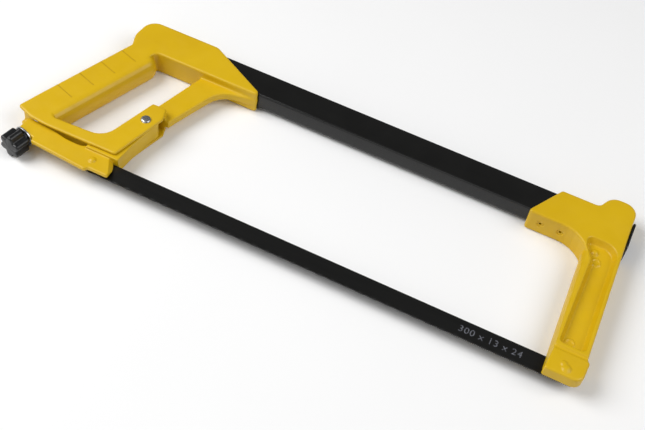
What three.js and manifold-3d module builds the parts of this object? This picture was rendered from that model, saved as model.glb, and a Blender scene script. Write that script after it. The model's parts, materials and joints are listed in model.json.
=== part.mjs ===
// A 300 mm hacksaw with a tube frame, two die-cast ends and a screw-tensioned lever.
// Millimetres. The saw lies on its side: +X runs to the nose, +Y from the blade to the tube,
// +Z up through the thickness. While it is drawn, the rear blade pin stands at X = 0, Y = 0 and
// the blade's middle plane is Z = 0; the last lines move the origin to the bottom centre.
import * as THREE from 'three';
import { mergeVertices } from 'three/addons/utils/BufferGeometryUtils.js';
import Module from 'manifold-3d';

const wasm = await Module();
wasm.setup();

// Blade
const HOLE_SPACING = 300;
const BLADE_WIDTH = 12.7;
const BLADE_THICKNESS = 0.65;
const BLADE_END_MARGIN = 6.5;
const BLADE_HOLE_RADIUS = 2.2;
const BLADE_GAP = 0.3;

// Frame tube
const TUBE_HEIGHT = 21;
const TUBE_THICKNESS = 12;
const TUBE_WALL = 1.2;
const TUBE_CORNER = 1.8;
const TUBE_REACH = 111;
const TUBE_REAR_X = -10;
const SOCKET_CLEARANCE = 0.15;

// Castings
const CASTING_HALF = 8.2;
const SOCKET_WALL = 2.6;
const CAST_EDGE = 1;
const STEM_HALF = 2.8;
const PLATE_THICKNESS = 1.8;
const LEVER_GAP = 0.3;

// Grip
const GRIP_WIDTH = 18;
const GRIP_INNER_BULGE = 5.5;
const GRIP_OUTER_BULGE = 3;

// Nose casting
const NOSE_ARM_WIDTH = 20;
const NOSE_FLANK = 3.4;
const RECESS_DEPTH = 4.4;
const RECESS_SLOPE = 2.4;
const RECESS_RIM = 2.2;
const BLOCK_TOP_Y = 9;
const BLOCK_STEP = 1.7;

// Lever
const LEVER_TOP = 4.6;
const LEVER_UNDER = 1.7;
const LEVER_BOSS_BOTTOM = 5.2;
const LEVER_BOSS_HALF = 5.6;
const LEVER_BOSS_DEPTH = 15;
const PIVOT_X = 11.3;
const PIVOT_Y = 42.3;
const PIVOT_RADIUS = 2.25;
const PIVOT_CLEARANCE = 0.1;
const RIVET_HEAD_RADIUS = 3.2;
const RIVET_HEAD_HEIGHT = 1.1;
const RIVET_FOOT_RADIUS = 3;

// Blade pins
const PIN_RADIUS = 1.6;
const PIN_DROP = 3.2;
const PIN_PULL = 0.5;
const PIN_PRESS_GAP = 0.05;

// Tension screw and star knob
const SCREW_X = -48.4;
const SCREW_Y = -2;
const SCREW_TILT = 12.2 * Math.PI / 180;
const SCREW_RADIUS = 2.5;
const SCREW_HOLE_CLEARANCE = 0.75;
const SCREW_HOLE_SHIFT = 0.4;
const SCREW_REACH = 32;
const THREAD_GAP = 0.1;
const WASHER_RADIUS = 7;
const WASHER_THICKNESS = 1.1;
const WASHER_CLEARANCE = 0.25;
const KNOB_RADIUS = 8.2;
const KNOB_LENGTH = 12;
const KNOB_LOBES = 6;
const KNOB_VALLEY = 2.3;
const KNOB_TURN = 22 * Math.PI / 180;
const KNOB_BASE_RADIUS = 6.6;
const KNOB_BASE_LENGTH = 1.4;
const NUT_WIDTH = 10;
const NUT_THICKNESS = 5;
const NUT_DEPTH = 14;
const SEAT_GAP = 0.15;

// Tube cap and spring pins
const CAP_FLANGE = 1.6;
const CAP_OVERHANG = 1.2;
const CAP_PLUG = 12;
const CAP_WALL = 1.5;
const CAP_GAP = 0.02;
const SPRING_PIN_RADIUS = 1.9;
const SPRING_PIN_BORE = 0.9;
const SPRING_PIN_X = [-2, 14];
const NOSE_PIN_BACK = [44, 31];
const HUMP_RISE = 23.3;

const ARC_STEP = Math.PI / 14;
const THROUGH = 60;

const castingYellow = { color: 0xdcb71c, roughness: 0.42, metalness: 0 };
const tubeBlack = { color: 0x1c1c1b, roughness: 0.3, metalness: 0.1 };
const bladeBlack = { color: 0x1a1a18, roughness: 0.55, metalness: 0.3 };
const plasticBlack = { color: 0x14181c, roughness: 0.35, metalness: 0 };
const brightSteel = { color: 0xb9babb, roughness: 0.3, metalness: 1 };

const tubeInner = TUBE_REACH - TUBE_HEIGHT / 2;
const tubeOuter = TUBE_REACH + TUBE_HEIGHT / 2;
const socketInner = tubeInner - SOCKET_WALL;
const socketOuter = tubeOuter + SOCKET_WALL;
const noseX = HOLE_SPACING + 7.4;
const noseStart = HOLE_SPACING - 80;
const noseEnd = HOLE_SPACING + 80;
const slotHalf = CASTING_HALF - PLATE_THICKNESS;
const leverHalf = slotHalf - LEVER_GAP;
const blockUnder = BLADE_THICKNESS / 2 + BLADE_GAP;

// ---- Geometry helpers ----

// Corner points [x, y, radius] become a closed outline with an arc of that radius at each.
function outline(corners) {
  const points = [];
  corners.forEach(([x, y, radius = 0], i) => {
    const corner = new THREE.Vector2(x, y);
    const before = corners.at(i - 1);
    const after = corners[(i + 1) % corners.length];
    const toBefore = new THREE.Vector2(before[0], before[1]).sub(corner);
    const toAfter = new THREE.Vector2(after[0], after[1]).sub(corner);
    const room = Math.min(toBefore.length(), toAfter.length()) * 0.49;
    toBefore.normalize();
    toAfter.normalize();
    const half = Math.acos(THREE.MathUtils.clamp(toBefore.dot(toAfter), -1, 1)) / 2;
    const bend = Math.min(radius, room * Math.tan(half));
    if (bend < 0.01 || half > Math.PI / 2 - 0.01) {
      points.push(corner);
      return;
    }
    const bisector = toBefore.clone().add(toAfter).normalize();
    const centre = corner.clone().addScaledVector(bisector, bend / Math.sin(half));
    const start = corner.clone().addScaledVector(toBefore, bend / Math.tan(half)).sub(centre);
    const side = Math.sign(toBefore.cross(toAfter)) || 1;
    const turn = Math.PI - 2 * half;
    const steps = Math.max(2, Math.ceil(turn / ARC_STEP));
    for (let k = 0; k <= steps; k += 1) {
      const angle = start.angle() - side * turn * (k / steps);
      points.push(new THREE.Vector2(Math.cos(angle), Math.sin(angle)).multiplyScalar(bend).add(centre));
    }
  });
  return points;
}

function solid(geometry) {
  const bare = geometry.index ? geometry.toNonIndexed() : geometry;
  bare.deleteAttribute('normal');
  bare.deleteAttribute('uv');
  const merged = mergeVertices(bare, 1e-4);
  return new wasm.Manifold(new wasm.Mesh({
    numProp: 3,
    vertProperties: new Float32Array(merged.attributes.position.array),
    triVerts: new Uint32Array(merged.index.array),
  }));
}

// A plate between two heights. Its edges are rounded in by `inset` over a height of `rise`.
function plate(points, low, high, inset = 0, rise = inset, segments = 2) {
  const geometry = new THREE.ExtrudeGeometry(new THREE.Shape(points), {
    depth: high - low - 2 * rise,
    bevelEnabled: inset > 0,
    bevelSize: inset,
    bevelOffset: -inset,
    bevelThickness: rise,
    bevelSegments: segments,
  });
  geometry.translate(0, 0, low + rise);
  return solid(geometry);
}

function box(x0, x1, y0, y1, z0, z1) {
  const geometry = new THREE.BoxGeometry(x1 - x0, y1 - y0, z1 - z0);
  geometry.translate((x0 + x1) / 2, (y0 + y1) / 2, (z0 + z1) / 2);
  return solid(geometry);
}

// A turned solid about +Z from (radius, height) pairs that start and end on the axis.
function turned(profile, sides = 32) {
  return solid(new THREE.LatheGeometry(profile.map(([r, h]) => new THREE.Vector2(r, h)), sides)
    .rotateX(Math.PI / 2));
}

function rod(radius, low, high, sides = 32) {
  const geometry = new THREE.CylinderGeometry(radius, radius, high - low, sides);
  geometry.rotateX(Math.PI / 2);
  geometry.translate(0, 0, (low + high) / 2);
  return solid(geometry);
}

function rectangle(width, height, radius) {
  const x = width / 2;
  const y = height / 2;
  return outline([[-x, -y, radius], [x, -y, radius], [x, y, radius], [-x, y, radius]]);
}

// A point `out` beyond the line from a to b, at the share `along` of its length. Right is positive.
function beside(a, b, along, out) {
  const run = new THREE.Vector2(b[0] - a[0], b[1] - a[1]);
  const length = run.length();
  return [
    a[0] + run.x * along + run.y / length * out,
    a[1] + run.y * along - run.x / length * out,
  ];
}

// Where the line through a and b is at height y.
function lineX(a, b, y) {
  return a[0] + (b[0] - a[0]) * (y - a[1]) / (b[1] - a[1]);
}

// Turns a solid drawn about +Z so that +Z points out of the handle along the tension screw.
function alongScrew(shape) {
  return shape.rotate([90, 0, 0])
    .rotate([0, 0, -THREE.MathUtils.radToDeg(SCREW_TILT)])
    .translate([SCREW_X, SCREW_Y, 0]);
}

// Turns a solid drawn about +Z so that +Z points along +X, with its width across the saw.
function alongX(shape) {
  return shape.rotate([90, 0, 90]);
}

function piece(name, shape, look) {
  const { vertProperties, triVerts } = shape.getMesh();
  const geometry = new THREE.BufferGeometry();
  geometry.setAttribute('position', new THREE.BufferAttribute(vertProperties, 3));
  geometry.setIndex(new THREE.BufferAttribute(triVerts, 1));
  geometry.computeVertexNormals();
  const mesh = new THREE.Mesh(geometry, new THREE.MeshStandardMaterial(look));
  mesh.name = name;
  return mesh;
}

// ---- Places that several pieces share ----

const gripTop = [-31.3, socketInner - 1];
const gripFoot = [-61.5, 13];
const gripInnerTop = beside(gripFoot, gripTop, 1, GRIP_WIDTH);
const gripInnerFoot = beside(gripFoot, gripTop, 0.1, GRIP_WIDTH);
const stemFoot = [0, 30];
const stemTop = [19.8, 98.3];
const stemEdgeX = (y) => lineX(stemFoot, stemTop, y);
const loopFloorY = 7.8;
const padTopY = 57;
const slotEndY = 53;
const channelY = loopFloorY + 5;
const socketEndX = 60;

function socketBore(from, to) {
  const play = 2 * SOCKET_CLEARANCE;
  const size = rectangle(TUBE_HEIGHT + play, TUBE_THICKNESS + play, TUBE_CORNER);
  return alongX(plate(size, from, to)).translate([0, TUBE_REACH, 0]);
}

function springPinHole(x, y, length) {
  return rod(SPRING_PIN_RADIUS + PIN_PRESS_GAP, 0, length).rotate([-90, 0, 0]).translate([x, y, 0]);
}

// ---- Rear casting: hump and socket, grip, lower loop with its fork, and stem ----

function handleBody() {
  return plate(outline([
    [socketEndX, socketInner, 1.6],
    [socketEndX - 0.5, socketInner + 3.2, 2],
    [18, socketOuter, 6],
    [-33, socketOuter, 14],
    [-34.6, TUBE_REACH - 5, 12],
    [...gripTop, 3],
    [...gripFoot, 2],
    [-50, loopFloorY + 0.8, 14],
    [-38, loopFloorY - 0.3, 20],
    [10, loopFloorY + 0.6, 1.5],
    [stemEdgeX(32) + 15.3, 32, 12],
    [stemEdgeX(48) + 15, 48, 2],
    [stemEdgeX(padTopY) + 10, padTopY, 2],
    [stemEdgeX(padTopY), padTopY, 1.6],
    [stemEdgeX(loopFloorY + 9.7), loopFloorY + 9.7, 12],
    [...gripInnerFoot, 4],
    [gripInnerTop[0] + 0.6, socketInner, 4],
  ]), -CASTING_HALF, CASTING_HALF, CAST_EDGE);
}

// The grip's flanks swell towards the middle of its thickness.
function gripSwell() {
  const outerTop = beside(gripFoot, gripTop, 1.05, -GRIP_OUTER_BULGE);
  const outerFoot = beside(gripFoot, gripTop, 0.07, -GRIP_OUTER_BULGE);
  const innerFoot = beside(gripFoot, gripTop, 0.07, GRIP_WIDTH + GRIP_INNER_BULGE);
  const innerTop = beside(gripFoot, gripTop, 1.05, GRIP_WIDTH + GRIP_INNER_BULGE);
  return plate(outline([
    [...outerTop, 7],
    [...outerFoot, 7],
    [...innerFoot, 7],
    [...innerTop, 7],
  ]), -CASTING_HALF, CASTING_HALF, GRIP_INNER_BULGE, CASTING_HALF - 0.8, 4);
}

function handleStem() {
  return plate(outline([
    [stemEdgeX(slotEndY - 6), slotEndY - 6, 1],
    [stemEdgeX(socketInner + 6), socketInner + 6, 1],
    [socketEndX, socketInner + 6, 1],
    [socketEndX, socketInner, 1.2],
    [36.5, 93.3, 17],
    [23.8, 57.6, 4],
    [20.6, slotEndY - 6, 1],
  ]), -STEM_HALF, STEM_HALF, 0.8);
}

// The fork and the channel under the grip, which the lever closes into.
function leverChannel() {
  const wall = 2;
  const side = (y) => stemEdgeX(y) + wall;
  return plate(outline([
    [side(slotEndY), slotEndY, 1],
    [side(channelY + 2), channelY + 2, 8],
    [-50, channelY, 6],
    [-75, channelY + 8, 0],
    [-75, -20, 0],
    [40, -20, 0],
    [40, slotEndY - 3, 0],
  ]), -slotHalf, slotHalf);
}

function rearHandle() {
  const rivetHole = rod(PIVOT_RADIUS + PIN_PRESS_GAP, -THROUGH, THROUGH).translate([PIVOT_X, PIVOT_Y, 0]);
  const rivetSeat = turned([
    [0, -CASTING_HALF - 1],
    [RIVET_FOOT_RADIUS + PIN_PRESS_GAP, -CASTING_HALF - 1],
    [RIVET_FOOT_RADIUS + PIN_PRESS_GAP, -CASTING_HALF],
    [PIVOT_RADIUS + PIN_PRESS_GAP, -CASTING_HALF + 0.8],
    [0, -CASTING_HALF + 0.8],
  ]).translate([PIVOT_X, PIVOT_Y, 0]);
  const screwHole = alongScrew(rod(SCREW_RADIUS + THREAD_GAP, -SCREW_REACH - 1, 0));
  let shape = handleBody()
    .add(gripSwell())
    .add(handleStem())
    .subtract(leverChannel())
    .subtract(socketBore(TUBE_REAR_X - SOCKET_CLEARANCE, THROUGH * 2))
    .subtract(rivetHole)
    .subtract(rivetSeat)
    .subtract(screwHole)
    .subtract(nutSlot());
  SPRING_PIN_X.forEach((x) => {
    shape = shape.subtract(springPinHole(x, tubeOuter - 1, 10));
  });
  return shape;
}

// A square nut slides into this pocket from the side of the handle.
function nutSlot() {
  const half = NUT_WIDTH / 2 + PIN_PRESS_GAP * 2;
  const top = -NUT_DEPTH + PIN_PRESS_GAP * 2;
  const low = -NUT_DEPTH - NUT_THICKNESS - PIN_PRESS_GAP * 2;
  return alongScrew(box(-half, half, -THROUGH, half, low, top));
}

function handleNut() {
  const half = NUT_WIDTH / 2;
  const block = box(-half, half, -half, half, -NUT_DEPTH - NUT_THICKNESS, -NUT_DEPTH);
  return alongScrew(block.subtract(rod(SCREW_RADIUS + THREAD_GAP, -THROUGH, THROUGH)));
}

// ---- Tube and its cap ----

function frameTube() {
  const wall = plate(rectangle(TUBE_HEIGHT, TUBE_THICKNESS, TUBE_CORNER), TUBE_REAR_X, noseX);
  const bore = plate(
    rectangle(TUBE_HEIGHT - 2 * TUBE_WALL, TUBE_THICKNESS - 2 * TUBE_WALL, TUBE_CORNER - TUBE_WALL),
    TUBE_REAR_X - 1,
    noseX + 1,
  );
  return alongX(wall.subtract(bore)).translate([0, TUBE_REACH, 0]);
}

function tubeEndCap() {
  const plugHeight = TUBE_HEIGHT - 2 * TUBE_WALL - 2 * SOCKET_CLEARANCE;
  const plugThickness = TUBE_THICKNESS - 2 * TUBE_WALL - 2 * SOCKET_CLEARANCE;
  const seat = lineX([HOLE_SPACING + 10, BLOCK_TOP_Y + 1.5], [noseX, TUBE_REACH], tubeInner - CAP_OVERHANG);
  const face = seat + CAP_GAP;
  const flange = plate(
    rectangle(TUBE_HEIGHT + 2 * CAP_OVERHANG, TUBE_THICKNESS + 2 * CAP_OVERHANG, TUBE_CORNER + CAP_OVERHANG),
    face,
    face + CAP_FLANGE,
    0.4,
  );
  const plug = plate(rectangle(plugHeight, plugThickness, 0.8), noseX - CAP_PLUG, face + CAP_FLANGE / 2);
  const hollow = plate(
    rectangle(plugHeight - 2 * CAP_WALL, plugThickness - 2 * CAP_WALL, 0.5),
    noseX - CAP_PLUG - 1,
    face,
  );
  return alongX(flange.add(plug).subtract(hollow)).translate([0, TUBE_REACH, 0]);
}

// A rolled pin across a casting's wall, driven in as far as the tube.
function springPin(x, y, length) {
  const sleeve = rod(SPRING_PIN_RADIUS, 0, length).subtract(rod(SPRING_PIN_BORE, -1, length + 1));
  return sleeve.rotate([-90, 0, 0]).translate([x, y, 0]);
}

// ---- Nose casting ----

function noseBody() {
  const armInner = HOLE_SPACING + 10 - NOSE_ARM_WIDTH;
  return plate(outline([
    [HOLE_SPACING - 54, socketInner - 1.2, 1.6],
    [HOLE_SPACING - 39.5, socketOuter - 1, 2.5],
    [HOLE_SPACING - 15.2, socketOuter - 1, 4],
    [HOLE_SPACING - 10, TUBE_REACH + HUMP_RISE, 9],
    [noseX, TUBE_REACH + HUMP_RISE, 9],
    [noseX, TUBE_REACH, 2],
    [HOLE_SPACING + 10, BLOCK_TOP_Y + 1.5, 1.2],
    [HOLE_SPACING + 10 + BLOCK_STEP, BLOCK_TOP_Y - 1, 1.2],
    [HOLE_SPACING + 10 + BLOCK_STEP - 0.5, -BLADE_WIDTH / 2, 5.5],
    [armInner - 1, -BLADE_WIDTH / 2, 1.2],
    [armInner, BLOCK_TOP_Y, 4],
    [armInner - 0.5, socketInner - 1.2, 26],
  ]), -CASTING_HALF, CASTING_HALF, CAST_EDGE);
}

// The arm's inner flank leans out towards the middle of its thickness.
function noseFlank() {
  const armInner = HOLE_SPACING + 10 - NOSE_ARM_WIDTH - NOSE_FLANK;
  return plate(outline([
    [armInner - 22, socketInner - 1.2, 4.4],
    [armInner - 22, socketInner + 8, 4.4],
    [armInner + 14, socketInner + 8, 4.4],
    [armInner + 14, -BLADE_WIDTH / 2, 4.4],
    [armInner + 2.4, -BLADE_WIDTH / 2, 4.4],
    [armInner - 1.6, socketInner - 1.2, 22],
  ]), -CASTING_HALF, CASTING_HALF, NOSE_FLANK, CASTING_HALF - 1, 3);
}

// A pocket with sloping walls, cut down from one face of the arm.
function noseRecess() {
  const left = HOLE_SPACING + 10 - NOSE_ARM_WIDTH + 1.4;
  const right = (y) => lineX([HOLE_SPACING + 10, BLOCK_TOP_Y], [noseX, TUBE_REACH], y) - RECESS_RIM;
  const floor = CASTING_HALF - RECESS_DEPTH;
  const foot = BLOCK_TOP_Y + 5;
  const head = TUBE_REACH - 14;
  return plate(outline([
    [left, foot, 3],
    [right(foot), foot, 3],
    [right(head - 5), head, 11],
    [left - 6.5, head, 4],
    [left - 5.5, head - 8, 2.5],
    [left, head - 17, 10],
  ]), floor, floor + 2 * RECESS_DEPTH, RECESS_SLOPE, RECESS_DEPTH, 1);
}

function frontCasting() {
  const recess = noseRecess();
  const bladeRoom = box(noseStart, noseEnd, -THROUGH, BLOCK_TOP_Y - 0.5, -THROUGH, blockUnder);
  const groove = box(noseStart, noseEnd, BLOCK_TOP_Y, BLOCK_TOP_Y + 2.6, CASTING_HALF - 0.8, THROUGH);
  const pinHole = rod(PIN_RADIUS + PIN_PRESS_GAP, -THROUGH, CASTING_HALF - 1).translate([HOLE_SPACING, 0, 0]);
  let shape = noseBody()
    .add(noseFlank())
    .subtract(recess)
    .subtract(recess.mirror([0, 0, 1]))
    .subtract(bladeRoom)
    .subtract(groove)
    .subtract(socketBore(noseStart, noseEnd))
    .subtract(pinHole);
  NOSE_PIN_BACK.forEach((back) => {
    shape = shape.subtract(springPinHole(HOLE_SPACING - back, tubeInner - 10, 11));
  });
  return shape;
}

// ---- Lever ----

const seatAlong = (along, into) => [
  SCREW_X + Math.cos(SCREW_TILT) * along + Math.sin(SCREW_TILT) * into,
  SCREW_Y - Math.sin(SCREW_TILT) * along + Math.cos(SCREW_TILT) * into,
];

function leverOutline() {
  const side = (y) => stemEdgeX(y) + 2 + 2 * LEVER_GAP;
  const blockEnd = 13.3;
  const edge = -BLADE_WIDTH / 2;
  return outline([
    [...seatAlong(WASHER_RADIUS + 0.3, WASHER_THICKNESS + SEAT_GAP), 0.8],
    [...seatAlong(-4.6, WASHER_THICKNESS + SEAT_GAP), 1.2],
    [-52.4, channelY - 2.5, 1.5],
    [-38, channelY - 3, 20],
    [-23, 6.8, 25],
    [-12, 6.6, 12],
    [-7, channelY - 2.4, 6],
    [side(channelY + 1) - 0.5, channelY + 1, 6],
    [side(PIVOT_Y + 7.2), PIVOT_Y + 7.2, 5],
    [PIVOT_X + 7.4, PIVOT_Y + 4, 2],
    [stemEdgeX(36) + 14.8, 36, 10],
    [14.2, 20, 30],
    [blockEnd, BLOCK_TOP_Y, 4],
    [blockEnd, edge, 1],
    [0.2, edge, 1],
    [-1.4, edge - 2.2, 1.2],
    [-17, edge - 0.9, 30],
    [SCREW_X + 8, edge + 0.9, 1.2],
  ]);
}

function tensionLever() {
  const points = leverOutline();
  const leg = plate(points, LEVER_UNDER, LEVER_TOP, 0.8);
  const boss = plate(points, -LEVER_BOSS_BOTTOM, LEVER_TOP, 0.8)
    .intersect(alongScrew(box(-LEVER_BOSS_HALF, LEVER_BOSS_HALF, -THROUGH, THROUGH, -LEVER_BOSS_DEPTH, 0)));
  const tall = box(-9, 40, 6.2, THROUGH, -THROUGH, THROUGH);
  const bladeRoom = box(-BLADE_END_MARGIN - 1.5, 40, -THROUGH, BLADE_WIDTH / 2 + 1, -THROUGH, blockUnder);
  const upright = plate(points, -leverHalf, leverHalf, 0.6).intersect(tall);
  const bevel = box(0, 40, -THROUGH, THROUGH, 0, THROUGH)
    .rotate([0, 48, 0])
    .rotate([0, 0, 28])
    .translate([7.3, 6.2, LEVER_TOP]);
  const pivotHole = rod(PIVOT_RADIUS + PIVOT_CLEARANCE, -THROUGH, THROUGH).translate([PIVOT_X, PIVOT_Y, 0]);
  const pinHole = rod(PIN_RADIUS + PIN_PRESS_GAP, -THROUGH, LEVER_TOP - 1).translate([-PIN_PULL, 0, 0]);
  // The lever swings across the screw, so its hole is wide and set towards the lever's end.
  const screwHole = alongScrew(
    rod(SCREW_RADIUS + SCREW_HOLE_CLEARANCE, -THROUGH, THROUGH).translate([-SCREW_HOLE_SHIFT, 0, 0]),
  );
  const block = leg.intersect(box(-THROUGH * 2, 40, -THROUGH, 6.4, -THROUGH, THROUGH)).subtract(bevel);
  return block
    .add(leg.intersect(box(-THROUGH * 2, 0, -THROUGH, THROUGH, -THROUGH, THROUGH)))
    .add(upright)
    .add(boss)
    .subtract(bladeRoom)
    .subtract(pivotHole)
    .subtract(pinHole)
    .subtract(screwHole);
}

function pivotRivet() {
  const top = CASTING_HALF + 0.05;
  return turned([
    [0, -CASTING_HALF],
    [RIVET_FOOT_RADIUS, -CASTING_HALF],
    [PIVOT_RADIUS, -CASTING_HALF + 0.8],
    [PIVOT_RADIUS, top],
    [RIVET_HEAD_RADIUS, top],
    [RIVET_HEAD_RADIUS * 0.9, top + RIVET_HEAD_HEIGHT * 0.5],
    [RIVET_HEAD_RADIUS * 0.6, top + RIVET_HEAD_HEIGHT * 0.85],
    [0, top + RIVET_HEAD_HEIGHT],
  ]).translate([PIVOT_X, PIVOT_Y, 0]);
}

// ---- Blade and its pins ----

function blade() {
  const y = BLADE_WIDTH / 2;
  const rear = -BLADE_END_MARGIN;
  const front = HOLE_SPACING + BLADE_END_MARGIN;
  const strip = plate(outline([
    [rear, -y, 2], [front, -y, 2], [front, y, 2], [rear, y, 2],
  ]), -BLADE_THICKNESS / 2, BLADE_THICKNESS / 2);
  const hole = rod(BLADE_HOLE_RADIUS, -1, 1);
  return strip.subtract(hole).subtract(hole.translate([HOLE_SPACING, 0, 0]));
}

function bladePin(x, top) {
  return turned([
    [0, -PIN_DROP],
    [PIN_RADIUS * 0.75, -PIN_DROP],
    [PIN_RADIUS, -PIN_DROP + 0.5],
    [PIN_RADIUS, top],
    [0, top],
  ]).translate([x, 0, 0]);
}

// ---- Screw, washer and star knob ----

function tensionScrew() {
  return alongScrew(turned([
    [0, -SCREW_REACH],
    [SCREW_RADIUS * 0.8, -SCREW_REACH],
    [SCREW_RADIUS, -SCREW_REACH + 0.8],
    [SCREW_RADIUS, KNOB_LENGTH - 3],
    [0, KNOB_LENGTH - 3],
  ]));
}

function knobWasher() {
  const ring = rod(WASHER_RADIUS, -WASHER_THICKNESS, 0);
  return alongScrew(ring.subtract(rod(SCREW_RADIUS + WASHER_CLEARANCE, -THROUGH, THROUGH)));
}

function starOutline() {
  const count = KNOB_LOBES * 10;
  return Array.from({ length: count }, (_, k) => {
    const angle = k / count * 2 * Math.PI;
    const wave = (1 - Math.cos((angle - KNOB_TURN) * KNOB_LOBES)) / 2;
    const radius = KNOB_RADIUS - KNOB_VALLEY * wave ** 1.2;
    return new THREE.Vector2(radius * Math.cos(angle), radius * Math.sin(angle));
  });
}

function tensionKnob() {
  const base = rod(KNOB_BASE_RADIUS, SEAT_GAP, KNOB_BASE_LENGTH + 0.5);
  const star = plate(starOutline(), KNOB_BASE_LENGTH, KNOB_LENGTH, 0.8);
  const hole = rod(SCREW_RADIUS + THREAD_GAP, -1, KNOB_LENGTH - 3 + THREAD_GAP);
  return alongScrew(base.add(star).subtract(hole));
}

const noseWallY = socketInner - 1.2;
const saw = new THREE.Group();
saw.add(
  piece('rear_handle', rearHandle(), castingYellow),
  piece('frame_tube', frameTube(), tubeBlack),
  piece('front_casting', frontCasting(), castingYellow),
  piece('tube_end_cap', tubeEndCap(), plasticBlack),
  piece('tension_lever', tensionLever(), castingYellow),
  piece('pivot_rivet', pivotRivet(), brightSteel),
  piece('blade', blade(), bladeBlack),
  piece('rear_blade_pin', bladePin(-PIN_PULL, LEVER_TOP - 1 - PIN_PRESS_GAP), brightSteel),
  piece('front_blade_pin', bladePin(HOLE_SPACING, CASTING_HALF - 1 - PIN_PRESS_GAP), brightSteel),
  piece('tension_screw', tensionScrew(), brightSteel),
  piece('knob_washer', knobWasher(), brightSteel),
  piece('tension_knob', tensionKnob(), plasticBlack),
  piece('handle_nut', handleNut(), brightSteel),
);
SPRING_PIN_X.forEach((x, i) => {
  saw.add(piece(`rear_spring_pin_${i + 1}`, springPin(x, tubeOuter + 0.1, SOCKET_WALL - 0.3), castingYellow));
});
NOSE_PIN_BACK.forEach((back, i) => {
  const length = tubeInner - noseWallY - 0.5;
  const pin = springPin(HOLE_SPACING - back, noseWallY + 0.4, length);
  saw.add(piece(`front_spring_pin_${i + 1}`, pin, castingYellow));
});

// The origin goes to the middle of the base.
const bounds = new THREE.Box3().setFromObject(saw);
const middle = bounds.getCenter(new THREE.Vector3());
saw.position.set(-middle.x, -middle.y, -bounds.min.z);

const root = new THREE.Group();
root.add(saw);
export default root;
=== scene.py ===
"""A hand hacksaw with a black tube frame and powder-coated cast ends, lying on its side.

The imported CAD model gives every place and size. The castings are its solids with their edges
flowed round, and the tube, blade, knob, screw and small steel parts are surfaces worked out here.
"""
import json
import math

import bpy
import numpy as np
from mathutils import Matrix, Quaternion, Vector


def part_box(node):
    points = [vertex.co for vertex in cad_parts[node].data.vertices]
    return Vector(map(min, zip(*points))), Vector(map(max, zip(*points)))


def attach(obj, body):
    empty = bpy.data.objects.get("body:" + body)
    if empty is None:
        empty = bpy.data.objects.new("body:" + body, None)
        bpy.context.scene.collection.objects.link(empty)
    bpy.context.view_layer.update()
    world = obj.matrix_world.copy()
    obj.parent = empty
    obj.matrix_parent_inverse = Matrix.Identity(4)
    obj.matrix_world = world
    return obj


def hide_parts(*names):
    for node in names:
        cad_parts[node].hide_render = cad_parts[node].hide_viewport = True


bl_info = {
    "name": "Hacksaw",
    "version": (1, 0, 0),
    "blender": (4, 5, 0),
    "location": "View3D > Sidebar > Hacksaw",
    "description": "Builds a tube-frame hacksaw around its CAD model",
    "category": "Add Mesh",
}

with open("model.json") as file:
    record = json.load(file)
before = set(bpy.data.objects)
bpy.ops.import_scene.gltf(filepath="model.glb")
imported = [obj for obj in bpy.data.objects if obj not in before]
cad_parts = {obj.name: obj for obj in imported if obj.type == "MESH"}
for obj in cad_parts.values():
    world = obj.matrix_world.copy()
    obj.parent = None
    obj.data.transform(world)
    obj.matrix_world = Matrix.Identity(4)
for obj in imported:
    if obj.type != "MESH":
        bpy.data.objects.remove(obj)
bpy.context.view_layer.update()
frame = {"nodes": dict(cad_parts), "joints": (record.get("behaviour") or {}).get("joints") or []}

MM = 0.001
INCH = 25.4 * MM
JOINTS = {joint["name"]: joint for joint in frame["joints"]}
SCREW_POINT = np.array(JOINTS["knob_spin"]["pos_m"])
SCREW_AXIS = np.array(JOINTS["knob_spin"]["axis"])
PIVOT_POINT = np.array(JOINTS["lever_pivot"]["pos_m"])
UP = np.array([0.0, 0.0, 1.0])
WELD = 0.0001 * MM          # CAD corners closer than this are one corner
AXIS_RADIUS = 0.0001 * MM   # radius at which a turned piece's end closes
TOOTH_BAND = 2.2 * MM       # height of the blade's toothed strip


# ---- Places read from the CAD ----

def node_points(node):
    """A node's mesh corners, an array of points."""
    vertices = frame["nodes"][node].data.vertices
    flat = np.zeros(len(vertices) * 3)
    vertices.foreach_get("co", flat)
    return flat.reshape(-1, 3)


def low(node):
    """The lowest x, y and z of a node."""
    return np.array(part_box(node)[0])


def high(node):
    """The highest x, y and z of a node."""
    return np.array(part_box(node)[1])


def centre(node):
    """The middle of a node's box."""
    return (low(node) + high(node)) / 2


def axis_span(node, point, axis):
    """The lowest and highest distance of a node's corners along an axis from a point."""
    along = (node_points(node) - point) @ axis
    return along.min(), along.max()


# ---- Colour and material ----

def linear(hex_colour):
    """An sRGB hex colour as linear RGBA."""
    raw = hex_colour.lstrip("#")
    channels = [int(raw[i:i + 2], 16) / 255 for i in (0, 2, 4)]
    curve = [c / 12.92 if c <= 0.04045 else ((c + 0.055) / 1.055) ** 2.4 for c in channels]
    return (*curve, 1.0)


def add_node(tree, kind, settings=None, links=None):
    """Adds one shader node, sets its properties or inputs, and links its inputs from sockets."""
    node = tree.nodes.new(kind)
    for name, value in (settings or {}).items():
        if isinstance(name, str) and hasattr(node, name):
            setattr(node, name, value)
        else:
            node.inputs[name].default_value = value
    for name, socket in (links or {}).items():
        tree.links.new(socket, node.inputs[name])
    return node


def new_material(name, settings):
    """A material with one Principled shader: it, its tree, the shader and object coordinates."""
    material = bpy.data.materials.new(name)
    material.use_nodes = True
    tree = material.node_tree
    tree.nodes.clear()
    shader = add_node(tree, "ShaderNodeBsdfPrincipled", settings)
    output = add_node(tree, "ShaderNodeOutputMaterial")
    tree.links.new(shader.outputs[0], output.inputs[0])
    place = add_node(tree, "ShaderNodeTexCoord").outputs["Object"]
    return material, tree, shader, place


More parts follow.
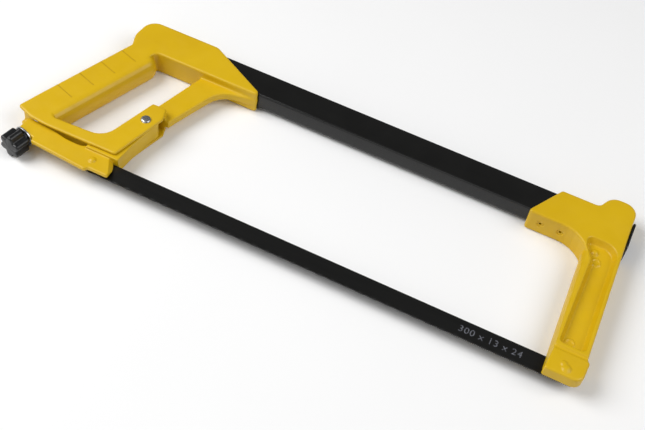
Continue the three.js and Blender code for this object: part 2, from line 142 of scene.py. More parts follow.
def noise(tree, place, size_mm, detail=2.0, stretch=(1, 1, 1)):
    """Noise whose blobs are about size_mm across, or longer along a stretched axis."""
    mapping = add_node(tree, "ShaderNodeMapping", {"Scale": [1 / (size_mm * MM * s) for s in stretch]},
                       {"Vector": place})
    return add_node(tree, "ShaderNodeTexNoise", {"Scale": 1.0, "Detail": detail, "Roughness": 0.55},
                    {"Vector": mapping.outputs[0]}).outputs["Fac"]


def ramp(tree, source, stops):
    """A colour ramp: stops are (position, linear colour)."""
    node = add_node(tree, "ShaderNodeValToRGB", None, {"Fac": source})
    points = node.color_ramp.elements
    while len(points) < len(stops):
        points.new(0.5)
    for point, (position, colour) in zip(points, stops):
        point.position = position
        point.color = colour
    return node.outputs["Color"]


def spread(tree, source, lowest, highest):
    """Maps noise values from 0.3 to 0.7 onto a range."""
    return add_node(tree, "ShaderNodeMapRange", {
        "From Min": 0.3, "From Max": 0.7, "To Min": lowest, "To Max": highest,
    }, {"Value": source}).outputs["Result"]


def bump(tree, shader, height, depth_mm):
    """Relief of a real depth, driven by a height socket."""
    relief = add_node(tree, "ShaderNodeBump", {"Distance": depth_mm * MM, "Strength": 1.0},
                      {"Height": height})
    tree.links.new(relief.outputs[0], shader.inputs["Normal"])


def powder_coat(colours, name="yellow_powder_coat"):
    """Semi-gloss powder coat on a die casting: an orange-peel skin with waves about 1.6 mm long."""
    material, tree, shader, place = new_material(name, {
        "Metallic": 0.0, "IOR": 1.45, "Coat Weight": 0.06, "Coat Roughness": 0.3,
    })
    cloud = noise(tree, place, 26, 3)
    tree.links.new(ramp(tree, cloud, [
        (0.3, linear(colours.coat_shade)), (0.7, linear(colours.coat)),
    ]), shader.inputs["Base Color"])
    tree.links.new(spread(tree, noise(tree, place, 7), 0.36, 0.5), shader.inputs["Roughness"])
    peel = noise(tree, place, 1.6, 1)
    bump(tree, shader, peel, 0.035)
    return material


def arithmetic(tree, operation, *values):
    """A math node: each value is a number or a socket."""
    node = add_node(tree, "ShaderNodeMath", {"operation": operation})
    for place, value in zip(node.inputs, values):
        if isinstance(value, (int, float)):
            place.default_value = value
        else:
            tree.links.new(value, place)
    return node.outputs[0]


def grooved_coat(colours):
    """The handle's powder coat, with finger lines 0.56 mm wide and 17 mm apart scored across the
    outer half of the grip, each drawn darker as painted shade in its groove. The lines are counted along
    the grip, which leans from the +Y axis."""
    material = powder_coat(colours, "grooved_powder_coat")
    tree = material.node_tree
    shader = next(node for node in tree.nodes if node.type == "BSDF_PRINCIPLED")
    relief = next(node for node in tree.nodes if node.type == "BUMP")
    place = next(node for node in tree.nodes if node.type == "TEX_COORD").outputs["Object"]
    split = add_node(tree, "ShaderNodeSeparateXYZ", None, {"Vector": place})
    foot = low("rear_handle")
    lean = math.radians(19)
    spacing, half_width = 17 * MM, 0.28 * MM
    first_line = 32 * MM
    outer_half = 14 * MM
    grip_start, grip_end = 26 * MM, 92 * MM
    depth_in_peels = 5.0
    right = arithmetic(tree, "SUBTRACT", split.outputs["X"], float(foot[0]))
    ahead = arithmetic(tree, "SUBTRACT", split.outputs["Y"], float(foot[1]) + 2 * MM)
    along = arithmetic(tree, "ADD", arithmetic(tree, "MULTIPLY", right, math.sin(lean)),
                       arithmetic(tree, "MULTIPLY", ahead, math.cos(lean)))
    inward = arithmetic(tree, "SUBTRACT", arithmetic(tree, "MULTIPLY", right, math.cos(lean)),
                        arithmetic(tree, "MULTIPLY", ahead, math.sin(lean)))
    wave = arithmetic(tree, "PINGPONG", arithmetic(tree, "SUBTRACT", along, first_line), spacing / 2)
    line = arithmetic(tree, "LESS_THAN", wave, half_width)
    for source, kind, limit in ((inward, "LESS_THAN", outer_half), (along, "GREATER_THAN", grip_start),
                                (along, "LESS_THAN", grip_end)):
        line = arithmetic(tree, "MULTIPLY", line, arithmetic(tree, kind, source, limit))
    peel = relief.inputs["Height"].links[0].from_socket
    scored = arithmetic(tree, "SUBTRACT", peel, arithmetic(tree, "MULTIPLY", line, depth_in_peels))
    tree.links.new(scored, relief.inputs["Height"])
    # The scored lines are drawn in a darker coat colour: painted shade in the grooves.
    shade = add_node(tree, "ShaderNodeMix", {"data_type": "RGBA", 7: linear(colours.groove_painted_shade)},
                     {0: line})
    base = shader.inputs["Base Color"].links[0].from_socket
    tree.links.new(base, shade.inputs[6])
    tree.links.new(shade.outputs[2], shader.inputs["Base Color"])
    return material


def gloss_lacquer(colours):
    """Black stoving lacquer on a rolled steel tube: glossy, with faint marks drawn along its length."""
    material, tree, shader, place = new_material("black_lacquer", {"Metallic": 0.0, "IOR": 1.45})
    streak = noise(tree, place, 0.7, 3, (60, 1, 1))
    # The lighter clouds, about 18 mm across, are painted sheen on the lacquer.
    tree.links.new(ramp(tree, noise(tree, place, 18, 3), [
        (0.35, linear(colours.tube)), (0.75, linear(colours.tube_painted_sheen)),
    ]), shader.inputs["Base Color"])
    tree.links.new(spread(tree, streak, 0.22, 0.27), shader.inputs["Roughness"])
    bump(tree, shader, streak, 0.001)
    return material


def blade_paint(colours):
    """Satin black on rolled spring steel, with a grain along the blade of about 0.3 mm."""
    material, tree, shader, place = new_material("satin_blade_black", {"Metallic": 0.0, "IOR": 1.45})
    grain = noise(tree, place, 0.3, 3, (90, 1, 1))
    tree.links.new(ramp(tree, grain, [
        (0.3, linear(colours.blade)), (0.8, linear(colours.blade_worn)),
    ]), shader.inputs["Base Color"])
    tree.links.new(spread(tree, grain, 0.32, 0.42), shader.inputs["Roughness"])
    bump(tree, shader, grain, 0.006)
    return material


def black_nylon(colours):
    """Moulded glass-filled nylon: a fine spark-eroded skin of about 0.5 mm with a soft sheen."""
    material, tree, shader, place = new_material("black_nylon", {"Metallic": 0.0, "IOR": 1.53})
    tree.links.new(ramp(tree, noise(tree, place, 3, 4), [
        (0.35, linear(colours.plastic)), (0.8, linear(colours.plastic_worn)),
    ]), shader.inputs["Base Color"])
    tree.links.new(spread(tree, noise(tree, place, 1.2), 0.28, 0.42), shader.inputs["Roughness"])
    bump(tree, shader, noise(tree, place, 0.5, 2), 0.01)
    return material


def zinc_steel(colours):
    """Zinc-plated turned steel: bright, with plating clouds of about 2 mm."""
    material, tree, shader, place = new_material("zinc_plated_steel", {"Metallic": 1.0})
    tree.links.new(ramp(tree, noise(tree, place, 2, 4), [
        (0.3, linear(colours.steel_shade)), (0.7, linear(colours.steel)),
    ]), shader.inputs["Base Color"])
    tree.links.new(spread(tree, noise(tree, place, 0.8), 0.22, 0.38), shader.inputs["Roughness"])
    bump(tree, shader, noise(tree, place, 0.5), 0.004)
    return material


def print_ink(colours):
    """Pad-printed pale ink on the blade: matt, thin and uneven."""
    material, tree, shader, place = new_material("pale_print", {"Metallic": 0.0, "Roughness": 0.7})
    tree.links.new(ramp(tree, noise(tree, place, 1.2, 4), [
        (0.35, linear(colours.ink_thin)), (0.6, linear(colours.ink)),
    ]), shader.inputs["Base Color"])
    return material


def material_of(name, maker):
    """The named material, made the first time that it is asked for."""
    return bpy.data.materials.get(name) or maker(bpy.context.scene.hacksaw_colours)


# ---- Surfaces ----

def add_mesh(name, vertices, faces, material, body, slot, replaced=(), smooth=True):
    """A new piece from points and faces, in the shared frame."""
    mesh = bpy.data.meshes.new(name)
    mesh.from_pydata(np.asarray(vertices, float), [], faces)
    mesh.validate()
    mesh.polygons.foreach_set("use_smooth", np.full(len(mesh.polygons), smooth))
    mesh.materials.append(material)
    piece = bpy.data.objects.new(name, mesh)
    bpy.context.scene.collection.objects.link(piece)
    return finish_piece(piece, body, replaced)


def finish_piece(piece, body, replaced=()):
    """Gives a piece its body and hides the CAD nodes that it stands for."""
    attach(piece, body)
    if replaced:
        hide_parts(*replaced)
    return piece


def grid_faces(rows, columns):
    """Quads of a rows x columns grid whose columns close on themselves."""
    row, column = np.meshgrid(np.arange(rows - 1), np.arange(columns), indexing="ij")
    after = (column + 1) % columns
    quads = np.stack([row * columns + column, row * columns + after,
                      (row + 1) * columns + after, (row + 1) * columns + column], -1)
    return quads.reshape(-1, 4).tolist()


def capped_tube(rings):
    """Rings of points (rows x columns x 3) become a closed surface: quads between rings and a
    fan-like face on each end."""
    rows, columns = rings.shape[:2]
    faces = grid_faces(rows, columns)
    faces.append(list(range(columns))[::-1])
    faces.append(list(range((rows - 1) * columns, rows * columns)))
    return rings.reshape(-1, 3), faces


def looped_tube(rings):
    """Rings whose last row joins the first, as a washer's or a pipe's wall does."""
    rows, columns = rings.shape[:2]
    faces = np.array(grid_faces(rows + 1, columns))
    return rings.reshape(-1, 3), (faces % (rows * columns)).tolist()


def rounded_profile(corners):
    """(radius, height, fillet) corners of a turned piece as points, with each fillet an arc-like
    blend: the quadratic curve that leaves and meets its two edges tangentially."""
    corners = np.array(corners, float)
    points = []
    for i, (radius, height, fillet) in enumerate(corners):
        here = np.array([radius, height])
        if fillet <= 0 or i in (0, len(corners) - 1):
            points.append(here[None])
            continue
        back = corners[i - 1, :2] - here
        onward = corners[i + 1, :2] - here
        start = here + back / np.linalg.norm(back) * fillet
        end = here + onward / np.linalg.norm(onward) * fillet
        t = np.linspace(0, 1, 6)[:, None]
        points.append((1 - t) ** 2 * start + 2 * t * (1 - t) * here + t ** 2 * end)
    return np.concatenate(points)


def turned(profile, point, axis, sides=64):
    """Revolves (radius, height) points about an axis: point + height * axis + radius * around."""
    axis = axis / np.linalg.norm(axis)
    across = np.cross(axis, [0.0, 0.0, 1.0] if abs(axis[2]) < 0.9 else [1.0, 0.0, 0.0])
    across /= np.linalg.norm(across)
    beyond = np.cross(axis, across)
    angle = np.linspace(0, 2 * np.pi, sides, endpoint=False)
    around = np.cos(angle)[:, None] * across + np.sin(angle)[:, None] * beyond
    profile = np.asarray(profile, float)
    return point + profile[:, 1, None, None] * axis + profile[:, 0, None, None] * around[None]


def turned_solid(profile_mm, point, sides):
    """A profile that starts and ends on the axis, revolved about +Z and closed."""
    profile = np.array(profile_mm) * MM
    profile[0, 0] = profile[-1, 0] = AXIS_RADIUS
    return capped_tube(turned(profile, np.asarray(point), UP, sides))


def rounded_rectangle(width, height, radius):
    """Points round a rectangle whose corners are quarter circles, anticlockwise."""
    quarter = np.linspace(0, np.pi / 2, 9)
    parts = []
    for k, (sx, sy) in enumerate(((1, 1), (-1, 1), (-1, -1), (1, -1))):
        middle = np.array([sx * (width / 2 - radius), sy * (height / 2 - radius)])
        angle = quarter + k * np.pi / 2
        parts.append(middle + radius * np.stack([np.cos(angle), np.sin(angle)], -1))
    return np.concatenate(parts)


def crisp_edges(piece, angle):
    """Keeps edges that turn by more than the angle, in degrees, crisp under smooth shading."""
    piece.data.set_sharp_from_angle(angle=math.radians(angle))


def settled(piece):
    """The piece with its modifiers carried into its mesh."""
    view = bpy.context.evaluated_depsgraph_get()
    mesh = bpy.data.meshes.new_from_object(piece.evaluated_get(view))
    piece.modifiers.clear()
    old = piece.data
    piece.data = mesh
    mesh.name = old.name
    return piece


def curve_piece(name, curve, place, material):
    """A filled curve or text, carried into a mesh that is moved to its place."""
    shape = bpy.data.objects.new(f"{name}_curve", curve)
    bpy.context.scene.collection.objects.link(shape)
    view = bpy.context.evaluated_depsgraph_get()
    mesh = bpy.data.meshes.new_from_object(shape.evaluated_get(view))
    bpy.data.objects.remove(shape)
    mesh.transform(Matrix.Translation(place))
    mesh.materials.clear()
    mesh.materials.append(material)
    piece = bpy.data.objects.new(name, mesh)
    bpy.context.scene.collection.objects.link(piece)
    return piece


def joined(parts):
    """Several (vertices, faces) surfaces as one."""
    vertices, faces, start = [], [], 0
    for points, quads in parts:
        vertices.append(np.asarray(points, float))
        faces += [[i + start for i in face] for face in quads]
        start += len(points)
    return np.concatenate(vertices), faces


def cad_surface(node):
    """A CAD node's triangles with their doubled corners merged to a tenth of a micron."""
    points = node_points(node)
    _, first, back = np.unique(np.round(points / WELD).astype(np.int64), axis=0,
                               return_index=True, return_inverse=True)
    loops = frame["nodes"][node].data.loops
    order = np.zeros(len(loops), np.int64)
    loops.foreach_get("vertex_index", order)
    triangles = back.reshape(-1)[order].reshape(-1, 3)
    whole = ((triangles[:, 0] != triangles[:, 1]) & (triangles[:, 1] != triangles[:, 2])
             & (triangles[:, 2] != triangles[:, 0]))
    return points[first], triangles[whole].tolist()


def cast_piece(name, node, body, slot, material, grain_mm, extras=(), passes=3):
    """A casting: the CAD solid and its small raised details flow together on a grid of grain_mm,
    then each point moves towards its neighbours, which rounds edges as the paint does."""
    vertices, faces = joined([cad_surface(node), *extras])
    piece = add_mesh(name, vertices, faces, material, body, slot, (node,))
    flow = piece.modifiers.new("flow", "REMESH")
    flow.mode = "VOXEL"
    flow.voxel_size = grain_mm * MM
    flow.use_smooth_shade = True
    soften = piece.modifiers.new("soften", "SMOOTH")
    soften.factor = 0.5
    soften.iterations = passes
    return settled(piece)


def dome(point, radius_mm, height_mm):
    """A low cap about +Z that stands on a face: height * sqrt(1 - (r / radius) ^ 2)."""
    radius = np.concatenate([[0, 0.999], np.cos(np.linspace(0, np.pi / 2, 10))]) * radius_mm
    height = np.concatenate([[-0.8, -0.8], np.sin(np.linspace(0, np.pi / 2, 10)) * height_mm])
    return turned_solid(np.stack([radius, height], -1), point, 40)


def ring_mark(point, radius_mm, base_mm, height_mm):
    """The raised witness ring, 0.45 mm wide, that an ejector pin leaves on a casting."""
    wall = 0.45
    profile = np.array([(radius_mm - wall, -base_mm), (radius_mm, -base_mm), (radius_mm, height_mm * 0.7),
                        (radius_mm - wall / 2, height_mm), (radius_mm - wall, height_mm * 0.7)]) * MM
    return looped_tube(turned(profile, np.asarray(point), UP, 40))


# ---- Settings ----

class HacksawSizes(bpy.types.PropertyGroup):
    teeth_per_inch: bpy.props.IntProperty(
        name="Teeth per inch", description="Pitch of the blade's teeth", default=24)
    tooth_depth: bpy.props.FloatProperty(
        name="Tooth depth", description="Depth of each tooth", default=0.8 * MM, unit="LENGTH")
    tooth_set: bpy.props.FloatProperty(
        name="Tooth set", description="How far the wavy set leans to each side", default=0.2 * MM,
        unit="LENGTH")
    thread_pitch: bpy.props.FloatProperty(
        name="Thread pitch", description="Pitch of the tension screw", default=0.8 * MM, unit="LENGTH")
    knob_lobes: bpy.props.IntProperty(
        name="Knob lobes", description="Lobes on the star knob", default=6)


class HacksawColours(bpy.types.PropertyGroup):
    coat: bpy.props.StringProperty(
        name="Coat", description="Powder coat on the castings, sRGB", default="#D6AF06")
    coat_shade: bpy.props.StringProperty(
        name="Coat shade", description="Where the powder coat is thicker, sRGB", default="#D0A803")
    # Painted shade: the coat drawn darker inside the grip's scored lines.
    groove_painted_shade: bpy.props.StringProperty(
        name="Coat in grooves", description="In the grip's scored lines, sRGB", default="#BE9606")
    tube: bpy.props.StringProperty(
        name="Tube", description="Lacquer on the tube, sRGB", default="#0E0E0D")
    # Painted sheen: the lighter colour of the clouds on the tube's lacquer.
    tube_painted_sheen: bpy.props.StringProperty(
        name="Tube sheen", description="Dusty areas of the tube's lacquer, sRGB", default="#131312")
    blade: bpy.props.StringProperty(
        name="Blade", description="Paint on the blade, sRGB", default="#080807")
    blade_worn: bpy.props.StringProperty(
        name="Blade grain", description="Rubbed grain of the blade's paint, sRGB", default="#0D0D0C")
    plastic: bpy.props.StringProperty(
        name="Plastic", description="Knob and tube cap, sRGB", default="#07080A")
    plastic_worn: bpy.props.StringProperty(
        name="Rubbed plastic", description="Rubbed areas of the knob, sRGB", default="#0C0E10")
    steel: bpy.props.StringProperty(
        name="Steel", description="Zinc plating, sRGB", default="#D2D2D0")
    steel_shade: bpy.props.StringProperty(
        name="Steel shade", description="Dull areas of the plating, sRGB", default="#B4B6B8")
    ink: bpy.props.StringProperty(
        name="Ink", description="Size marking on the blade, sRGB", default="#6A6C74")
    ink_thin: bpy.props.StringProperty(
        name="Thin ink", description="Where the marking is rubbed, sRGB", default="#33343A")


# ---- Pieces ----

class HACKSAW_OT_castings(bpy.types.Operator):
    """Handle, nose and lever castings with flowed edges"""
    bl_idname = "hacksaw.castings"
    bl_label = "Castings"

    def execute(self, context):
        coat = material_of("yellow_powder_coat", powder_coat)
        cast_piece("handle_casting", "rear_handle", "frame", "cast_yellow",
                   material_of("grooved_powder_coat", grooved_coat), 0.62)
        cast_piece("nose_casting", "front_casting", "frame", "cast_yellow", coat, 0.47,
                   nose_details(), 2)
        block_face = high("tension_lever")[2] - 1.5 * MM
        boss = dome((*centre("rear_blade_pin")[:2], block_face), 2.3, 1.1)
        cast_piece("lever_casting", "tension_lever", "lever", "cast_yellow", coat, 0.32, [boss], 2)
        return {"FINISHED"}


def nose_details():
    """The boss and its smaller tail over the nose's blade pin, and in the recess of the arm two
    ejector rings and a round pip. Places are in mm from the pin."""
    pin = centre("front_blade_pin")
    face = high("front_casting")[2]
    recess_floor = face - 4.4 * MM

    def beside_pin(x_mm, y_mm, z):
        return (pin[0] + x_mm * MM, pin[1] + y_mm * MM, z)

    return [dome(beside_pin(0.6, -1.6, face), 2.7, 1.15),
            dome(beside_pin(-1.4, 0.9, face), 1.9, 0.9),
            ring_mark(beside_pin(-5, 82, recess_floor), 2.8, 0.5, 0.8),
            ring_mark(beside_pin(-2.5, 18.5, recess_floor), 2.8, 0.5, 0.8),
            dome(beside_pin(-7.5, 89, recess_floor), 2.3, 1.5)]


class HACKSAW_OT_tube(bpy.types.Operator):
    """Rolled rectangular tube and the plastic cap in its front end"""
    bl_idname = "hacksaw.tube"
    bl_label = "Tube and cap"

    def execute(self, context):
        lacquer = material_of("black_lacquer", gloss_lacquer)
        tube = add_mesh("tube", *rolled_tube(), lacquer, "frame", "tube_black", ("frame_tube",))
        crisp_edges(tube, 40)
        cast_piece("tube_cap", "tube_end_cap", "cap", "cap_black",
                   material_of("black_nylon", black_nylon), 0.28, (), 2)
        return {"FINISHED"}


def rolled_tube():
    """The tube's wall: a rounded rectangle outside and a smaller one inside, from end to end."""
    lowest, highest = low("frame_tube"), high("frame_tube")
    rear, front = lowest[0], highest[0]
    _, middle_y, middle_z = centre("frame_tube")
    _, width, height = highest - lowest
    wall, outer_radius = 1.2 * MM, 1.8 * MM
    inner_radius = outer_radius - wall
    rings = []
    for x, inset, radius in ((rear, 0, outer_radius), (front, 0, outer_radius),
                             (front, wall, inner_radius), (rear, wall, inner_radius)):
        outline = rounded_rectangle(width - 2 * inset, height - 2 * inset, radius)
        rings.append(np.column_stack([np.full(len(outline), x), middle_y + outline[:, 0],
                                      middle_z + outline[:, 1]]))
    return looped_tube(np.array(rings))


class HACKSAW_OT_blade(bpy.types.Operator):
    """Blade with wavy-set teeth, pin holes and a generic size marking"""
    bl_idname = "hacksaw.blade"
    bl_label = "Blade"

    def execute(self, context):
        paint = material_of("satin_blade_black", blade_paint)
        back = blade_back(paint)
        teeth = toothed_edge(context.scene.hacksaw_sizes)
        add_mesh("blade_teeth", *teeth, paint, "blade", "blade_black", smooth=False)
        finish_piece(back, "blade", ("blade",))
        marking(material_of("pale_print", print_ink))
        return {"FINISHED"}


def blade_back(paint):
    """The blade above its teeth: a flat curve with its two pin holes, thickened."""
    lowest, highest = low("blade"), high("blade")
    middle = (lowest + highest) / 2
    curve = bpy.data.curves.new("blade_back", "CURVE")
    curve.dimensions = "2D"
    curve.fill_mode = "BOTH"
    curve.extrude = (highest[2] - lowest[2]) / 2
    corner, hole_radius, hole_inset = 2 * MM, 2.2 * MM, 6.5 * MM
    quarter = np.linspace(0, np.pi / 2, 9)
    top_right = np.column_stack([highest[0] - corner + corner * np.cos(quarter),
                                 highest[1] - corner + corner * np.sin(quarter)])
    top_left = np.column_stack([lowest[0] + corner - corner * np.sin(quarter),
                                highest[1] - corner + corner * np.cos(quarter)])
    foot = lowest[1] + TOOTH_BAND
    body = np.vstack([[(lowest[0], foot), (highest[0], foot)], top_right, top_left])
    turn = np.linspace(0, 2 * np.pi, 40, endpoint=False)
    circle = hole_radius * np.column_stack([np.cos(turn), np.sin(turn)])
    holes = [circle + (x, middle[1]) for x in (lowest[0] + hole_inset, highest[0] - hole_inset)]
    for loop in (body, *holes):
        spline = curve.splines.new("POLY")
        spline.points.add(len(loop) - 1)
        flat = np.column_stack([loop, np.zeros(len(loop)), np.ones(len(loop))])
        spline.points.foreach_set("co", flat.ravel())
        spline.use_cyclic_u = True
    return curve_piece("blade_back", curve, (0, 0, middle[2]), paint)


def toothed_edge(sizes):
    """The toothed strip. Along it the edge height is a saw wave of the tooth depth, with a steep
    front and a sloping back, and the set is a sine across the thickness that fades up the strip."""
    lowest, highest = low("blade"), high("blade")
    middle = (lowest + highest) / 2
    half = (highest[2] - lowest[2]) / 2
    pitch = INCH / sizes.teeth_per_inch
    plain_ends = 2 * MM
    count = int((highest[0] - lowest[0] - plain_ends) / pitch)
    start = middle[0] - count * pitch / 2
    tip = np.arange(count)[:, None] * pitch + start
    tooth_x, tooth_rise = np.array([0, 0.1, 0.55]), np.array([0, 1.0, 0.8])
    x = (tip + tooth_x * pitch).ravel()
    depth = np.tile(tooth_rise * sizes.tooth_depth, count)
    x = np.concatenate([[lowest[0]], x, [highest[0]]])
    depth = np.concatenate([[sizes.tooth_depth], depth, [sizes.tooth_depth]])
    teeth_per_wave = 8
    wave = np.sin(2 * np.pi * (x - start) / (teeth_per_wave * pitch)) * sizes.tooth_set
    levels = np.array([0.0, 0.35, 0.7, 1.0])
    foot = lowest[1] + depth
    rings = []
    for side in (1, -1):
        for level in (levels if side > 0 else levels[::-1]):
            y = foot + (lowest[1] + TOOTH_BAND - foot) * level
            lean = wave * (1 - level) ** 2
            rings.append(np.column_stack([x, y, middle[2] + side * half + lean]))
    rings = np.array(rings).transpose(1, 0, 2)[:, ::-1]
    return capped_tube(rings)


def marking(ink):
    """A generic size marking, printed on the blade's upper face 30 mm from its front end."""
    highest = high("blade")
    letter_height, from_front = 6.2 * MM, 30 * MM
    lift, ink_thickness = 0.02 * MM, 0.015 * MM
    text = bpy.data.curves.new("blade_marking", "FONT")
    text.body = "300 x 13 x 24"
    text.size = letter_height
    text.align_x = "RIGHT"
    text.align_y = "CENTER"
    text.space_character = 1.1
    place = (highest[0] - from_front, centre("blade")[1], highest[2] + lift)
    piece = curve_piece("blade_marking", text, place, ink)
    thick = piece.modifiers.new("ink", "SOLIDIFY")
    thick.thickness = ink_thickness
    settled(piece)
    finish_piece(piece, "blade")


class HACKSAW_OT_knob(bpy.types.Operator):
    """Star knob, its threaded screw and its washer"""
    bl_idname = "hacksaw.knob"
    bl_label = "Knob, screw and washer"

    def execute(self, context):
        sizes = context.scene.hacksaw_sizes
        nylon = material_of("black_nylon", black_nylon)
        steel = material_of("zinc_plated_steel", zinc_steel)
        add_mesh("star_knob", *star_knob(sizes), nylon, "knob", "knob_black", ("tension_knob",))
        add_mesh("knob_screw", *threaded_rod(sizes), steel, "knob", "bright_steel", ("tension_screw",))
        bottom, top = (end / MM for end in axis_span("knob_washer", SCREW_POINT, SCREW_AXIS))
        hole, rim = 2.75, 7
        profile = rounded_profile([(hole, bottom, 0), (rim, bottom, 0.3), (rim, top, 0.3),
                                   (hole, top, 0)]) * MM
        washer = add_mesh("plain_washer", *looped_tube(turned(profile, SCREW_POINT, SCREW_AXIS, 72)),
                          steel, "washer", "bright_steel", ("knob_washer",))
        crisp_edges(washer, 50)
        return {"FINISHED"}


def star_knob(sizes):
    """A lobed knob. Its radius is R - valley * ((1 - cos(n a)) / 2) ^ 1.2 round the axis, and each
    end is drawn in along a quarter circle, so that the rims are soft and the end is slightly domed."""
    bottom, top = axis_span("tension_knob", SCREW_POINT, SCREW_AXIS)
    neck_radius, neck_height = 6.2 * MM, 1.3 * MM
    outer_radius, valley = 8.2 * MM, 2.3 * MM
    foot_round, shoulder, crown = 0.9 * MM, 1.2 * MM, 0.4 * MM
    columns = 240
    angle = np.linspace(0, 2 * np.pi, columns, endpoint=False)
    turn = sizes.knob_lobes * (angle - lobe_angle())
    star = outer_radius - valley * ((1 - np.cos(turn)) / 2) ** 1.2
    quarter = np.linspace(0, np.pi / 2, 10)[:, None]
    across_top = np.array([0.7, 0.45, 0.2, 0.001])[:, None]
    radius = np.concatenate([
        np.full((2, columns), neck_radius),
        star - foot_round * (1 - np.sin(quarter)),
        star - shoulder * (1 - np.cos(quarter)),
        (star - shoulder) * across_top,
    ])
    height = np.concatenate([
        [bottom, bottom + neck_height],
        bottom + neck_height + foot_round * (1 - np.cos(quarter[:, 0])),
        top - shoulder * (1 - np.sin(quarter[:, 0])) - crown,
        top - crown * across_top[:, 0],
    ])
    return capped_tube(around_screw(radius, height, angle))


def lobe_angle():
    """The angle of one of the CAD knob's lobes about the screw, measured as around_screw does."""
    flat = (node_points("tension_knob") - SCREW_POINT) @ np.stack(screw_frame(), -1)
    far = flat[np.argmax(np.hypot(*flat.T))]
    return math.atan2(far[1], far[0])


def screw_frame():
    """Two directions square to the tension screw and to each other."""
    across = np.cross(SCREW_AXIS, [0.0, 0.0, 1.0])
    return across, np.cross(SCREW_AXIS, across)


def around_screw(radius, height, angle):
    """Points at a radius, height and angle about the tension screw's axis."""
    across, beyond = screw_frame()
    return (SCREW_POINT + height[:, None, None] * SCREW_AXIS
            + radius[..., None] * (np.cos(angle)[:, None] * across + np.sin(angle)[:, None] * beyond))


def threaded_rod(sizes):
    """A V thread: a triangle wave of height / pitch - angle / (2 pi), raised above the root. It
    fades down to the root at both ends of the rod."""
    bottom, top = axis_span("tension_screw", SCREW_POINT, SCREW_AXIS)
    crest_radius, thread_depth = 2.5 * MM, 0.49 * MM
    rows_per_turn, columns, fade_turns = 6, 32, 1.2
    angle = np.linspace(0, 2 * np.pi, columns, endpoint=False)
    rows = int((top - bottom) / sizes.thread_pitch * rows_per_turn)
    height = np.linspace(bottom, top, rows)
    phase = (height[:, None] / sizes.thread_pitch - angle / (2 * np.pi)) % 1
    groove = np.abs(phase * 2 - 1)
    from_end = np.minimum(height - bottom, top - height)
    fade = np.clip(from_end / (fade_turns * sizes.thread_pitch), 0, 1)
    radius = crest_radius - thread_depth * (1 - groove * fade[:, None])
    return capped_tube(around_screw(radius, height, angle))


class HACKSAW_OT_steel(bpy.types.Operator):
    """Pivot rivet, blade pins, spring pins and nut"""
    bl_idname = "hacksaw.steel"
    bl_label = "Rivet, pins and nut"

    def execute(self, context):
        steel = material_of("zinc_plated_steel", zinc_steel)
        base, head = low("pivot_rivet")[2] / MM, high("pivot_rivet")[2] / MM
        gap_under_head = 0.05
        seat = high("rear_handle")[2] / MM + gap_under_head
        profile = rounded_profile([(0, base, 0), (3, base, 0.1), (2.25, base + 0.8, 0.1), (2.25, seat, 0.1),
                                   (3.2, seat, 0.1), (3.1, head - 0.1, 1.0), (0, head, 0)])
        rivet = turned_solid(profile, (PIVOT_POINT[0], PIVOT_POINT[1], 0.0), 64)
        add_mesh("rivet", *rivet, steel, "frame", "bright_steel", ("pivot_rivet",))
        for name, body in (("rear_blade_pin", "lever"), ("front_blade_pin", "frame")):
            bottom, top = low(name)[2] / MM, high(name)[2] / MM
            profile = rounded_profile([(0, bottom, 0), (1.6, bottom, 0.5), (1.6, top, 0.1), (0, top, 0)])
            pin = turned_solid(profile, (*centre(name)[:2], 0.0), 48)
            add_mesh(f"{name}_turned", *pin, steel, body, "bright_steel", (name,))
        coat = material_of("yellow_powder_coat", powder_coat)
        for node, shape in frame["nodes"].items():
            if "spring_pin" in node or node == "handle_nut":
                shape.data.materials.clear()
                shape.data.materials.append(coat if "spring_pin" in node else steel)
        return {"FINISHED"}


# ---- Stage ----

def emitter(name, place, width, power):
    """A round soft light, aimed at the middle of the saw."""
    light = bpy.data.lights.new(name, "AREA")
    light.shape = "DISK"
    light.size = width
    light.energy = power
    lamp = bpy.data.objects.new(name, light)
    lamp.location = place
    lamp.rotation_euler = Vector(place).to_track_quat("Z", "Y").to_euler()
    bpy.context.scene.collection.objects.link(lamp)


class HACKSAW_OT_stage(bpy.types.Operator):
    """Pale floor, soft studio light and the camera"""
    bl_idname = "hacksaw.stage"
    bl_label = "Stage"

    def execute(self, context):
        studio_floor()
        emitter("key", (-1.05, -0.3, 1.15), 1.2, 22)
        emitter("fill", (1.1, 0.1, 1.15), 1.2, 11.5)
        emitter("front", (-0.2, -1.35, 0.75), 1.0, 2.5)
        world = bpy.data.worlds.new("studio")
        context.scene.world = world
        world.use_nodes = True
        sky = world.node_tree.nodes["Background"].inputs
        sky["Color"].default_value = linear("#FFFFFF")
        sky["Strength"].default_value = 0.16
        context.scene.view_settings.view_transform = "Standard"
        camera()
        return {"FINISHED"}


def studio_floor():
    """A matt white sheet, just under the saw so that the two don't share a plane."""
    width, drop = 6.0, 0.2 * MM
    square = np.array([(-1, -1, 0), (1, -1, 0), (1, 1, 0), (-1, 1, 0)]) * width / 2
    mesh = bpy.data.meshes.new("floor")
    mesh.from_pydata(square, [], [(0, 1, 2, 3)])
    material, tree, shader, place = new_material("studio_floor", {"Roughness": 0.9})
    tree.links.new(ramp(tree, noise(tree, place, 200), [
        (0.3, linear("#F4F4F4")), (0.7, linear("#F6F6F6")),
    ]), shader.inputs["Base Color"])
    mesh.materials.append(material)
    floor = bpy.data.objects.new("floor", mesh)
    bpy.context.scene.collection.objects.link(floor)
    floor.location.z = -drop


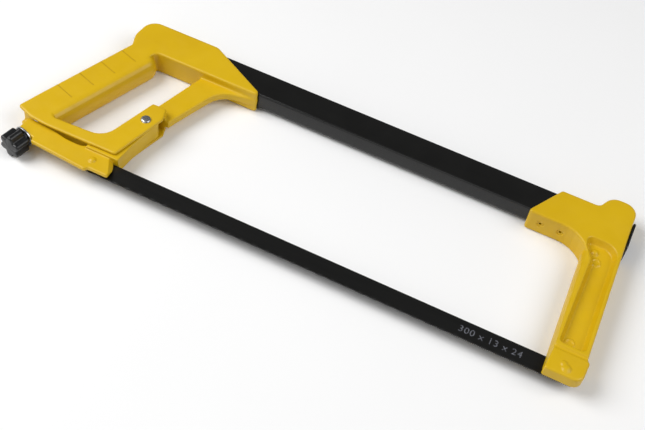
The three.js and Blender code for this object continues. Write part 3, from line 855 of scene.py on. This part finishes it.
def camera():
    """A 62 mm lens on a 36 mm sensor, looking down at a point beside the blade, rolled a little."""
    azimuth, elevation, roll = (math.radians(degrees) for degrees in (17.046, 50.152, 10.276))
    distance = 0.670135
    beside_blade = np.array([-13.282, 35.393, 0]) * MM
    target = Vector(centre("blade") + beside_blade)
    away = Vector((math.sin(azimuth) * math.cos(elevation), -math.cos(azimuth) * math.cos(elevation),
                   math.sin(elevation)))
    lens = bpy.data.cameras.new("camera")
    lens.sensor_width = 36
    lens.lens = 62.4703
    view = bpy.data.objects.new("camera", lens)
    view.rotation_mode = "QUATERNION"
    view.location = target + away * distance
    view.rotation_quaternion = away.to_track_quat("Z", "Y") @ Quaternion((0, 0, 1), roll)
    bpy.context.scene.collection.objects.link(view)
    bpy.context.scene.camera = view


class HACKSAW_PT_panel(bpy.types.Panel):
    bl_label = "Hacksaw"
    bl_idname = "HACKSAW_PT_panel"
    bl_space_type = "VIEW_3D"
    bl_region_type = "UI"
    bl_category = "Hacksaw"

    def draw(self, context):
        for operator in OPERATORS:
            self.layout.operator(operator.bl_idname)
        for group in (context.scene.hacksaw_sizes, context.scene.hacksaw_colours):
            for name in group.bl_rna.properties.keys():
                if name not in ("name", "rna_type"):
                    self.layout.prop(group, name)


OPERATORS = (HACKSAW_OT_castings, HACKSAW_OT_tube, HACKSAW_OT_blade, HACKSAW_OT_knob, HACKSAW_OT_steel,
             HACKSAW_OT_stage)
CLASSES = (HacksawSizes, HacksawColours, *OPERATORS, HACKSAW_PT_panel)


def register():
    for item in CLASSES:
        bpy.utils.register_class(item)
    bpy.types.Scene.hacksaw_sizes = bpy.props.PointerProperty(type=HacksawSizes)
    bpy.types.Scene.hacksaw_colours = bpy.props.PointerProperty(type=HacksawColours)


def unregister():
    del bpy.types.Scene.hacksaw_colours
    del bpy.types.Scene.hacksaw_sizes
    for item in reversed(CLASSES):
        bpy.utils.unregister_class(item)


def main():
    """Builds every group of pieces, then the stage."""
    register()
    bpy.ops.hacksaw.castings()
    bpy.ops.hacksaw.tube()
    bpy.ops.hacksaw.blade()
    bpy.ops.hacksaw.knob()
    bpy.ops.hacksaw.steel()
    bpy.ops.hacksaw.stage()


if __name__ == "__main__":
    main()
